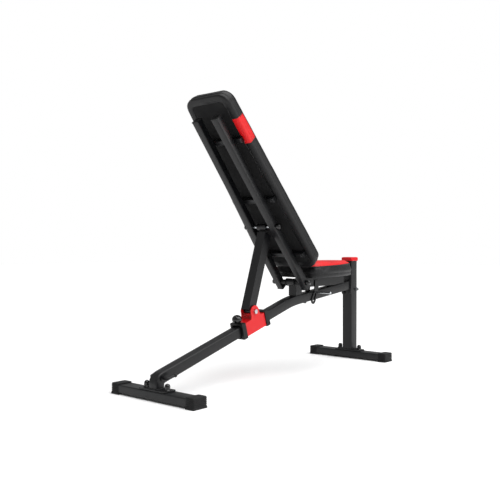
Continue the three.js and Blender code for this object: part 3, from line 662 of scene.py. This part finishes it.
@dataclass
class MainFrame:
    """Feet, beam, post and the hardware that doesn't move."""

    palette: Palette
    tube_radius: float = 5.0

    def build(self) -> None:
        """Builds and dresses the welded frame."""
        for end, x in (("rear", REAR_FOOT_X), ("front", POST_X)):
            Foot(end, x, self.palette).build()
        self.beam()
        self.post()
        self.cap()
        self.flange()
        self.welds()

    def beam(self) -> None:
        """Sweeps the beam: a heel, a long slope and a flatter run to the post."""
        # A tight cold bend: the arc is centred on the inner corner.
        path = [bench_point(HEEL_X, 0, 40.6)]
        radius, turn = 24.0, math.pi / 2 - REAR_SLOPE
        reach = radius * math.tan(turn / 2)
        corner_z = REAR_LEVEL + math.tan(REAR_SLOPE) * HEEL_X
        for i in range(11):
            angle = turn * i / 10
            x = HEEL_X + radius * (1 - math.cos(angle))
            path.append(bench_point(x, 0, corner_z - reach + radius * math.sin(angle)))
        knee_x = (FRONT_LEVEL - REAR_LEVEL) / (math.tan(REAR_SLOPE) - math.tan(FRONT_SLOPE))
        reach = 43.0
        start = bench_point(knee_x - reach, 0, REAR_LEVEL + math.tan(REAR_SLOPE) * (knee_x - reach))
        end = bench_point(knee_x + reach, 0, FRONT_LEVEL + math.tan(FRONT_SLOPE) * (knee_x + reach))
        knee = bench_point(knee_x, 0, REAR_LEVEL + math.tan(REAR_SLOPE) * knee_x)
        for i in range(11):
            t = i / 10
            path.append(start * (1 - t) ** 2 + knee * (2 * t * (1 - t)) + end * t**2)
        path.append(bench_point(1209.2, 0, FRONT_LEVEL + math.tan(FRONT_SLOPE) * 1209.2))
        beam = sweep("beam", path, Vector((0, 1, 0)), rounded_rectangle(20, 20, self.tube_radius))
        dress(beam, Body.FRAME, "black_powder_coat", self.palette.black_paint, "main_beam")
        # Dark nylon discs with a thin rim along the top face, which paint the shade inside the locking holes.
        hole = PULL_PIN_ALONG + 2 * HOLE_SPACING
        for index in range(HOLE_COUNT):
            along = hole - index * HOLE_SPACING
            rim = turned(
                f"beam_hole_shade_{index + 1}",
                beam_point(along, 0, 19.4),
                beam_point(along, 0, 30) - beam_point(along, 0, 19),
                [(0, 0), (5.6, 0), (5.6, 0.75), (4.8, 0.8), (4.6, 0.1), (0, 0.05)],
                24,
            )
            dress(rim, Body.FRAME, "black_nylon", self.palette.nylon)

    def post(self) -> None:
        """Sweeps the front post."""
        path = [bench_point(POST_X, 0, z) for z in (40.6, 464.0)]
        post = sweep("post", path, Vector((1, 0, 0)), rounded_rectangle(25, 25, 5.0))
        dress(post, Body.FRAME, "black_powder_coat", self.palette.black_paint, "front_post")
        # Dark nylon discs with a thin rim on both sides of the post, which paint the shade inside the pin holes.
        for name, side in (("left", 1), ("right", -1)):
            foot = bench_point(POST_X + 8, side * 24.4, 373)
            rim = turned(
                f"post_hole_shade_{name}", foot, Vector((0, side, 0)),
                [(0, 0), (5.4, 0), (5.4, 0.75), (4.6, 0.8), (4.4, 0.1), (0, 0.05)], 24,
            )
            dress(rim, Body.FRAME, "black_nylon", self.palette.nylon)

    def cap(self) -> None:
        """Builds the red cap on the post, with a soft edge all round."""
        levels = ((1.5, 453.6), (0.0, 454.8), (0.0, 467.0), (1.0, 469.4), (3.6, 470.8), (7.0, 471.0))
        rings = []
        for inset, z in levels:
            outline = rounded_rectangle(29 - inset, 29 - inset, 6.0)
            rings.append([bench_point(POST_X + a, b, z) for a, b in outline])
        dress(loft("red_post_cap", rings), Body.FRAME, "red_powder_coat", self.palette.red_paint, "post_cap")

    def flange(self) -> None:
        """Builds the rounded flange between beam and post."""
        rings = []
        for inset, x in ((0.8, 1209.6), (0.0, 1210.2), (0.0, 1213.6), (0.6, 1214.1)):
            outline = rounded_rectangle(26 - inset, 33 - inset, 12)
            rings.append([bench_point(x, a, 331 + b) for a, b in outline])
        dress(loft("post_flange", rings), Body.FRAME, "black_powder_coat", self.palette.black_paint, "beam_flange")

    def welds(self) -> None:
        """Lays the visible weld beads of the frame."""
        spots = (
            ("post_weld", bench_point(POST_X, 0, 41.2), 26.2, 26.2),
            ("heel_weld", bench_point(HEEL_X, 0, 41.2), 21.0, 21.0),
        )
        for name, centre, half_x, half_y in spots:
            bead = weld_bead(name, square_path(centre, half_x, half_y), 2.2)
            dress(bead, Body.FRAME, "black_powder_coat", self.palette.black_paint)


# ---------- cushions ----------
@dataclass
class Cushion:
    """An upholstered foam cushion: a lofted form, blown up as cloth, with a hem and piping."""

    name: str
    body: Body
    slot: str
    cover: Material
    piping: Material
    replaced: tuple[str, ...]
    low: float
    high: float
    crown: float
    wall_bulge: float = 2.0
    edge_radius: float = 17.0
    voxel_mm: float = 5.0
    cap_mm: float = 5.0

    def outline(self, count: int) -> Outline:
        """Returns the plan outline in the cushion's own millimetres."""
        raise NotImplementedError

    def place(self, along: float, across: float, out: float) -> Vector:
        """Turns the cushion's own millimetres into frame metres."""
        raise NotImplementedError

    def out(self) -> Vector:
        """Returns the direction out of the cushion's face."""
        raise NotImplementedError

    def ring(self, inset: float, shrink: float, height: float, count: int = 160) -> Ring:
        """Draws one level of the form.

        Args:
            inset: Offset inwards, in millimetres.
            shrink: Share by which the ring closes on its middle.
            height: Level along the outward direction, in millimetres.
            count: Points on the ring.

        Returns:
            The ring in frame metres.
        """
        plan = self.outline(count)
        middle_a = sum(p[0] for p in plan) / count
        middle_b = sum(p[1] for p in plan) / count
        ring = []
        for i, (a, b) in enumerate(plan):
            before, after = plan[i - 1], plan[(i + 1) % count]
            run_a, run_b = after[0] - before[0], after[1] - before[1]
            length = math.hypot(run_a, run_b) or 1.0
            a2, b2 = a - inset * run_b / length, b + inset * run_a / length
            a3, b3 = a2 + (middle_a - a2) * shrink, b2 + (middle_b - b2) * shrink
            ring.append(self.place(a3, b3, height))
        return ring

    def form(self) -> Piece:
        """Lofts the plain form that the cloth starts from."""
        rings = [self.ring(6, share, self.low) for share in (0.9, 0.6, 0.3, 0.1)]
        rings += [self.ring(1.5, 0, self.low), self.ring(0.5, 0, self.low + 2)]
        wall = self.high - self.edge_radius - self.low
        for i in range(1, 5):
            share = i / 4
            rings.append(self.ring(-self.wall_bulge * math.sin(math.pi * share), 0, self.low + wall * share))
        for i in range(1, 7):
            turn = math.radians(15 * i)
            inset = self.edge_radius * (1 - math.cos(turn))
            rings.append(self.ring(inset, 0, self.high - self.edge_radius * (1 - math.sin(turn))))
        for share in (0.12, 0.26, 0.42, 0.6, 0.8, 0.93):
            lift = self.crown * math.sin(share * math.pi / 2)
            rings.append(self.ring(self.edge_radius, share, self.high + lift))
        return loft(self.name, rings, shading=Shading.SOFT)

    def blow_up(self, piece: Piece) -> None:
        """Remeshes the form and swells it as cloth under a light pressure.

        Args:
            piece: The lofted form, which is changed in place.
        """
        scene = bpy.context.scene
        remesh = piece.modifiers.new("remesh", "REMESH")
        remesh.mode = "VOXEL"
        remesh.voxel_size = self.voxel_mm * MM
        remesh.use_smooth_shade = True
        self.apply_stack(piece)
        start = [vertex.co.copy() for vertex in piece.data.vertices]
        floor = self.low + 3.0
        level = dot3(self.out(), self.place(0, 0, floor))
        pinned = piece.vertex_groups.new(name="seated")
        pinned.add([i for i, p in enumerate(start) if dot3(self.out(), p) < level], 1.0, "REPLACE")
        cloth = piece.modifiers.new("cloth", "CLOTH")
        cloth.settings.use_pressure = True
        cloth.settings.uniform_pressure_force = 4.0
        cloth.settings.effector_weights.gravity = 0.0
        cloth.settings.vertex_group_mass = "seated"
        cloth.settings.quality = 4
        cloth.collision_settings.use_collision = False
        for number in range(1, 21):
            scene.frame_set(number)
        self.apply_stack(piece)
        scene.frame_set(1)
        limit = self.cap_mm * MM
        for vertex, before in zip(piece.data.vertices, start):
            move = vertex.co - before
            if move.length > limit:
                vertex.co = before + move.normalized() * limit
        piece.vertex_groups.clear()
        smooth = piece.modifiers.new("smooth", "SMOOTH")
        smooth.iterations = 2
        smooth.factor = 0.4
        self.apply_stack(piece)
        piece.data.shade_smooth()
        finer = piece.modifiers.new("finer", "SUBSURF")
        finer.levels = finer.render_levels = 1

    @staticmethod
    def apply_stack(piece: Piece) -> None:
        """Turns the piece's modifiers into plain mesh.

        Args:
            piece: The object, which is changed in place.
        """
        graph = bpy.context.evaluated_depsgraph_get()
        mesh = bpy.data.meshes.new_from_object(piece.evaluated_get(graph))
        old = piece.data
        piece.modifiers.clear()
        piece.data = mesh
        bpy.data.meshes.remove(old)

    def on_surface(self, piece: Piece, path: list[Vector], lift: float) -> list[Vector]:
        """Lays a path on the cushion's skin.

        Args:
            piece: The finished cushion.
            path: Points near the skin.
            lift: How far above it they end, in millimetres.

        Returns:
            The points on the skin.
        """
        mesh = piece.data
        tree = BVHTree.FromPolygons([v.co for v in mesh.vertices], [tuple(p.vertices) for p in mesh.polygons])
        laid = []
        for point in path:
            spot, normal, _, _ = tree.find_nearest(point)
            laid.append(spot + normal * (lift * MM))
        return laid

    def cord(self, name: str, path: list[Vector], radius: float, looped: bool) -> None:
        """Sews a round cord along a path.

        Args:
            name: The piece's name.
            path: Points on the skin.
            radius: Cord radius in millimetres.
            looped: True when the path is closed.
        """
        section = [(radius * math.cos(t * math.pi / 5), radius * math.sin(t * math.pi / 5)) for t in range(10)]
        cord = sweep(name, path, self.out(), section, looped)
        dress(cord, self.body, "black_vinyl", self.piping)

    def stitches(self, name: str, path: list[Vector], material: Material) -> None:
        """Sews a row of raised stitches along a path.

        Args:
            name: The piece's name.
            path: Points on the skin, one for each stitch end.
            material: The thread's finish.
        """
        points: list[Vector] = []
        faces: list[tuple[int, ...]] = []
        for start, end in zip(path[0::2], path[1::2]):
            ahead = end - start
            if ahead.length < 1e-6:
                continue
            ahead.normalize()
            across = ahead.orthogonal().normalized()
            up = ahead.cross(across)
            for share, size in ((0.0, 0.3), (0.25, 0.8), (0.75, 0.8), (1.0, 0.3)):
                centre = start.lerp(end, share)
                turns = [k * math.pi / 3 for k in range(6)]
                points += [centre + (across * math.cos(t) + up * math.sin(t)) * (size * MM) for t in turns]
            base = len(points) - 24
            for step in range(3):
                for k in range(6):
                    low, high = base + step * 6, base + step * 6 + 6
                    faces.append((low + k, low + (k + 1) % 6, high + (k + 1) % 6, high + k))
            faces += [tuple(base + k for k in range(6)), tuple(base + 18 + k for k in range(6))]
        row = make_object(name, points, faces, Shading.SOFT)
        dress(row, self.body, "black_vinyl", material)

    def hem(self, board_low: float, depth: float) -> None:
        """Folds the cover round the board's edge onto its rear face.

        Args:
            board_low: Level of the board's rear face, in millimetres.
            depth: How far the cover reaches in, in millimetres.
        """
        top = self.low + 3.0
        levels = [(0.4, top), (-0.2, (top + board_low) / 2), (0.8, board_low + 2.0), (3.0, board_low)]
        levels += [(6.0, board_low - 0.9), (depth * 0.6, board_low - 1.1), (depth, board_low - 0.9)]
        levels += [(depth + 0.6, board_low - 0.2), (depth, board_low + 0.3), (9.0, board_low + 0.3)]
        levels += [(6.0, board_low + 4.0), (6.0, top)]
        hem = loft(f"{self.name}_hem", [self.ring(inset, 0, z) for inset, z in levels], True, Shading.SOFT)
        # The cover gathers as it turns the corner, so the flat part ripples slightly.
        count = 160
        for index, vertex in enumerate(hem.data.vertices):
            if index // count in (5, 6):
                vertex.co -= self.out() * (0.35 * MM * math.sin((index % count) * 0.9))
        dress(hem, self.body, self.slot, self.cover)


@dataclass
class BackCushion(Cushion):
    """The long tapered cushion of the backrest."""

    top: float = -870.0
    bottom: float = -55.0
    corner: float = 45.0

    def half_width(self, along: float) -> float:
        """Returns half the cushion's width at a place along the backrest."""
        return taper(along) + 1.0

    def outline(self, count: int) -> Outline:
        """Returns the tapered outline with round corners, evenly spaced."""
        raw: Outline = []
        corners = ((self.top, -1), (self.bottom, -1), (self.bottom, 1), (self.top, 1))
        for number, (end, side) in enumerate(corners):
            inward = 1 if end == self.top else -1
            centre = (end + inward * self.corner, side * (self.half_width(end) - self.corner))
            start = 180 + 90 * number
            for i in range(13):
                turn = math.radians(start + 90 * i / 12)
                raw.append((centre[0] + self.corner * math.cos(turn), centre[1] + self.corner * math.sin(turn)))
        return even_spacing(raw, count)

    def place(self, along: float, across: float, out: float) -> Vector:
        """Turns backrest millimetres into frame metres."""
        return back_point(along, across, out)

    def out(self) -> Vector:
        """Returns the direction out of the backrest cushion."""
        return OUT_OF_PAD.copy()

    def build(self, thread: Material) -> None:
        """Builds the cushion, its hem, its edge piping and the band's seams.

        Args:
            thread: Finish of the sewing thread.
        """
        piece = self.form()
        self.blow_up(piece)
        dress(piece, self.body, self.slot, self.cover, *self.replaced)
        edge = self.on_surface(piece, self.ring(5.0, 0, self.high - 5.0, 240), 0.3)
        self.cord("back_edge_piping", edge, 1.7, True)
        self.hem(35.6, 27.0)
        for number, along in enumerate(BAND):
            for shift, kind in ((0.0, "seam"), (3.5 if number == 0 else -3.5, "stitch")):
                near = self.cross_path(along + shift)
                if kind == "seam":
                    self.cord(f"band_seam_{number + 1}", self.on_surface(piece, near, 0.1), 0.9, False)
                else:
                    self.stitches(f"band_stitches_{number + 1}", self.on_surface(piece, near, 0.35), thread)

    def cross_path(self, along: float) -> list[Vector]:
        """Goes up one side wall, across the face and down the other.

        Args:
            along: Place along the backrest, in millimetres.

        Returns:
            Points a few millimetres apart.
        """
        half = self.half_width(along)
        wall = self.high - self.low - 4
        steps = int(wall / 4)
        left = [self.place(along, -half, self.low + 4 + wall * i / steps) for i in range(steps)]
        span = int(2 * half / 4)
        face = [self.place(along, -half + 2 * half * i / span, self.high + 2) for i in range(span + 1)]
        right = [self.place(along, half, self.high - wall * i / steps) for i in range(1, steps)]
        return left + face + right


@dataclass
class SeatCushion(Cushion):
    """The seat cushion: broad at the rear, with a round nose."""

    def outline(self, count: int) -> Outline:
        """Returns the plan outline, evenly spaced."""
        half = [(805, 0), (805, 60), (806, 88), (816, 106), (840, 115), (880, 121), (920, 121), (965, 117)]
        half += [(1010, 109), (1055, 98), (1095, 86), (1130, 73), (1160, 57), (1180, 36), (1189, 15), (1190, 0)]
        knots = [(x, -y) for x, y in half] + [(x, y) for x, y in reversed(half[1:-1])]
        smooth: Outline = []
        total = len(knots)
        for i in range(total):
            p0, p1, p2, p3 = (knots[(i + k - 1) % total] for k in range(4))
            for step in range(8):
                t = step / 8
                point = []
                for axis in range(2):
                    a, b, c, d = p0[axis], p1[axis], p2[axis], p3[axis]
                    curve = 2 * b + (c - a) * t + (2 * a - 5 * b + 4 * c - d) * t * t
                    point.append(0.5 * (curve + (3 * b - a - 3 * c + d) * t**3))
                smooth.append((point[0], point[1]))
        return even_spacing(smooth, count)

    def place(self, along: float, across: float, out: float) -> Vector:
        """Turns bench millimetres into frame metres."""
        return bench_point(along, across, out)

    def out(self) -> Vector:
        """Returns the direction out of the seat."""
        return Vector((0, 0, 1))

    def build(self) -> None:
        """Builds the cushion, its hem and the piped seam under the red panel."""
        piece = self.form()
        self.blow_up(piece)
        self.press_rear(piece)
        dress(piece, self.body, self.slot, self.cover, *self.replaced)
        ring = self.ring(0.0, 0, 0.0, 240)
        for point in ring:
            point.z = (SEAT_SEAM + SEAT_SEAM_SLOPE * (point.x / MM + SHIFT - SEAT_REAR)) * MM
        self.cord("seat_seam_piping", self.on_surface(piece, ring, 0.3), 1.5, True)
        self.hem(392.0, 24.0)

    def press_rear(self, piece: Piece) -> None:
        """Presses the rear edge down, so that it clears the backrest when the seat's nose is raised.

        Args:
            piece: The cushion, which is changed in place.
        """
        # The end of the back cushion, as a raised seat meets it, less 2 mm of clearance.
        hinge_x, level, slope = AXLE[0], 431.5, 0.46
        full = self.high + self.crown
        for vertex in piece.data.vertices:
            limit = level + slope * (vertex.co.x / MM + SHIFT - hinge_x)
            height = vertex.co.z / MM
            if limit < full and height > self.low:
                vertex.co.z = (self.low + (height - self.low) * (limit - self.low) / (full - self.low)) * MM


def even_spacing(raw: Outline, count: int) -> Outline:
    """Spreads points evenly along a closed outline.

    Args:
        raw: The outline's points.
        count: How many points to return.

    Returns:
        The evenly spaced points.
    """
    closed = raw + raw[:1]
    lengths = [math.dist(a, b) for a, b in zip(closed, closed[1:])]
    total = sum(lengths)
    points: Outline = []
    segment, walked = 0, 0.0
    for i in range(count):
        target = total * i / count
        while walked + lengths[segment] < target:
            walked += lengths[segment]
            segment += 1
        share = (target - walked) / (lengths[segment] or 1.0)
        a, b = closed[segment], closed[segment + 1]
        points.append((a[0] + (b[0] - a[0]) * share, a[1] + (b[1] - a[1]) * share))
    return points


# ---------- backrest ----------
@dataclass
class Backrest:
    """Two converging tubes, three cross members, four board screws and the tapered cushion."""

    palette: Palette
    top: float = -800.0
    bottom: float = 27.0

    def spread(self, along: float) -> float:
        """Returns half the spacing of the tubes at a place along the backrest."""
        return 63.9 + 0.01955 * along

    def build(self) -> None:
        """Builds and dresses the backrest."""
        for name, side in (("left", 1), ("right", -1)):
            path = [back_point(s, side * self.spread(s), 0) for s in (self.top, self.bottom)]
            tube = sweep(f"back_tube_{name}", path, Vector((0, 1, 0)), rounded_rectangle(15, 15, 4))
            dress(tube, Body.BACKREST, "black_powder_coat", self.palette.black_paint, f"backrest_tube_{name}")
        for number, along in enumerate((-686.0, -411.0, -134.0), 1):
            half = taper(along) - 22
            path = [back_point(along, -half, 25.3), back_point(along, half, 25.3)]
            member = sweep(f"cross_bar_{number}", path, DOWN_BACK, rounded_rectangle(10, 9.8, 2.5))
            dress(
                member, Body.BACKREST, "black_powder_coat", self.palette.black_paint, f"cross_member_{number}"
            )
            if number > 1:
                for name, side in (("left", 1), ("right", -1)):
                    self.screw(number, name, along, side * (half - 14))
        cushion = BackCushion(
            "back_cushion", Body.BACKREST, "black_vinyl", self.palette.back_cover, self.palette.piping,
            ("backrest_pad",), 48.2, 84.0, 3.0, wall_bulge=2.5, edge_radius=12.0, cap_mm=3.0,
        )
        cushion.build(self.palette.thread)

    def screw(self, number: int, name: str, along: float, across: float) -> None:
        """Builds the pan-head screw that holds the board to a cross member.

        Args:
            number: The cross member.
            name: Its side of the bench.
            along: Place along the backrest, in millimetres.
            across: Place across it, in millimetres.
        """
        profile = [(0, 0), (6.5, 0), (6.5, 1.4), (5.6, 3.0), (3.6, 4.1), (2.9, 4.2), (2.7, 2.6), (0, 2.5)]
        head = turned(f"board_screw_{number}_{name}", back_point(along, across, 15.4), -OUT_OF_PAD, profile, 32)
        dress(head, Body.BACKREST, "black_powder_coat", self.palette.black_paint)


# ---------- seat and carriage ----------
@dataclass
class Seat:
    """The seat's cushion."""

    palette: Palette

    def build(self) -> None:
        """Builds and dresses the cushion."""
        SeatCushion(
            "seat_cushion", Body.SEAT, "red_vinyl", self.palette.seat_cover, self.palette.piping,
            ("seat_pad",), 404.4, 453.0, 2.0, edge_radius=13.0,
        ).build()


@dataclass
class Carriage:
    """The knob of the sliding carriage's pull pin."""

    palette: Palette

    def build(self) -> None:
        """Builds the round knob of the pull pin."""
        foot = beam_point(PULL_PIN_ALONG, 0, 25.4)
        axis = beam_point(PULL_PIN_ALONG, 0, 60) - foot
        profile = [(0, 0), (4.5, 0), (4.5, 6.0), (9.8, 6.6), (11.0, 7.6), (10.6, 9.4), (11.6, 11.2)]
        for i in range(13):
            turn = math.radians(-48 + 138 * i / 12)
            profile.append((19.5 * math.cos(turn), 21.5 + 17.0 * math.sin(turn)))
        knob = turned("round_knob", foot, axis, profile, 56)
        dress(knob, Body.POP_PIN, "gloss_black_plastic", self.palette.phenolic, "pull_pin")


class CarriedOver:
    """Dresses the CAD nodes that keep their own shape."""

    def __init__(self, frame: dict, palette: Palette) -> None:
        """Pairs each record slot with its finish.

        Args:
            palette: The bench's finishes.
        """
        self.nodes = frame["nodes"]
        self.slots = {entry["node"]: entry["material_slot"] for entry in frame["record"]["subparts"]}
        self.finish = {
            "black_powder_coat": palette.black_paint,
            "red_powder_coat": palette.red_paint,
            "chrome": palette.chrome,
            "zinc": palette.zinc,
            "black_rubber": palette.rubber,
            "black_nylon": palette.nylon,
            "gloss_black_plastic": palette.phenolic,
            "board": palette.fibreboard,
            "black_vinyl": palette.piping,
            "red_vinyl": palette.piping,
        }

    def build(self) -> None:
        """Gives every carried-over node its finish and softens its edges."""
        for name, node in self.nodes.items():
            material = self.finish[self.slots[name]]
            for holder in node.material_slots:
                holder.material = material
            if node.hide_render:
                continue
            bevel = node.modifiers.new("soft edges", "BEVEL")
            bevel.width = 0.9 * MM
            bevel.segments = 2
            bevel.limit_method = "ANGLE"
            bevel.angle_limit = math.radians(38)
            LOG.info("%s keeps its shape", name)


# ---------- studio ----------
@dataclass(frozen=True)
class Studio:
    """Pale floor, soft lights and the camera."""

    eye: tuple[float, float, float] = (-2.2130, -1.8009, 0.5320)
    yaw: float = 40.666
    pitch: float = -0.4815
    lens: float = 50.67
    ambient: float = 0.35

    def build(self) -> None:
        """Sets up the floor, the lights and the camera."""
        self.camera()
        self.floor()
        self.light("key", (-0.6, -2.4, 2.2), (0.0, 0.0, 0.4), 2.0, 22.0)
        self.light("fill", (-2.6, 1.8, 1.6), (0.0, 0.0, 0.4), 2.4, 4.0)
        self.overhead((0.5, -0.9, 3.4), 2.9)
        self.light("side", (1.6, -2.6, 1.6), (0.0, 0.0, 0.5), 1.6, 26.0)
        world = bpy.data.worlds.new("studio")
        world.use_nodes = True
        world.node_tree.nodes["Background"].inputs["Color"].default_value = (1.0, 1.0, 1.0, 1.0)
        # The backdrop looks white but lights the bench weakly, so that unlit faces stay dark.
        tree = world.node_tree
        sight = add_node(tree, "ShaderNodeLightPath").outputs["Is Camera Ray"]
        strength = remap(tree, sight, (0.0, 1.0), (self.ambient, 1.0))
        tree.links.new(strength, tree.nodes["Background"].inputs["Strength"])
        bpy.context.scene.world = world
        bpy.context.scene.view_settings.view_transform = "Standard"

    def camera(self) -> None:
        """Places the camera."""
        data = bpy.data.cameras.new("camera")
        data.lens, data.sensor_width = self.lens, 36.0
        data.clip_end = 100.0
        obj = bpy.data.objects.new("camera", data)
        bpy.context.scene.collection.objects.link(obj)
        yaw, pitch = math.radians(self.yaw), math.radians(self.pitch)
        ahead = Vector((math.cos(yaw) * math.cos(pitch), math.sin(yaw) * math.cos(pitch), math.sin(pitch)))
        obj.location = self.eye
        obj.rotation_euler = ahead.to_track_quat("-Z", "Y").to_euler()
        bpy.context.scene.camera = obj

    def floor(self) -> None:
        """Lays a plain pale floor."""
        size = 14.0
        corners = [Vector((x * size, y * size, 0.0)) for x, y in ((-1, -1), (1, -1), (1, 1), (-1, 1))]
        floor = make_object("studio_floor", corners, [(0, 1, 2, 3)], Shading.CRISP)
        material, _, shader, _ = start_material("pale floor")
        shader.inputs["Base Color"].default_value = (0.97, 0.97, 0.97, 1.0)
        shader.inputs["Roughness"].default_value = 0.9
        floor.data.materials.append(material)

    @staticmethod
    def overhead(place: tuple[float, float, float], strength: float) -> None:
        """Adds the broad overhead light, which doesn't weaken with distance and so lights the floor evenly.

        Args:
            place: A point it shines from, towards the origin.
            strength: Its strength in watts per square metre.
        """
        data = bpy.data.lights.new("overhead", "SUN")
        data.energy, data.angle = strength, math.radians(70)
        obj = bpy.data.objects.new("overhead", data)
        obj.rotation_euler = (-Vector(place)).to_track_quat("-Z", "Y").to_euler()
        bpy.context.scene.collection.objects.link(obj)

    @staticmethod
    def light(name: str, place: Triple, target: Triple, size: float, power: float) -> None:
        """Adds one soft light.

        Args:
            name: The light's name.
            place: Where it stands, in metres.
            target: What it faces.
            size: Edge of the soft box, in metres.
            power: Its power in watts.
        """
        data = bpy.data.lights.new(name, "AREA")
        data.shape, data.size, data.energy = "SQUARE", size, power
        obj = bpy.data.objects.new(name, data)
        obj.location = place
        obj.rotation_euler = (Vector(target) - Vector(place)).to_track_quat("-Z", "Y").to_euler()
        bpy.context.scene.collection.objects.link(obj)


def corners(box: tuple[Vector, Vector]) -> list[list[float]]:
    """Returns a box's corners as plain lists."""
    return [list(box[0]), list(box[1])]


def main() -> None:
    """Builds the bench over its frame."""
    logging.basicConfig(level=logging.INFO)
    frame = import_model()
    palette = Palette()
    Studio().build()
    MainFrame(palette).build()
    Backrest(palette).build()
    Seat(palette).build()
    Carriage(palette).build()
    CarriedOver(frame, palette).build()


if __name__ == "__main__":
    main()
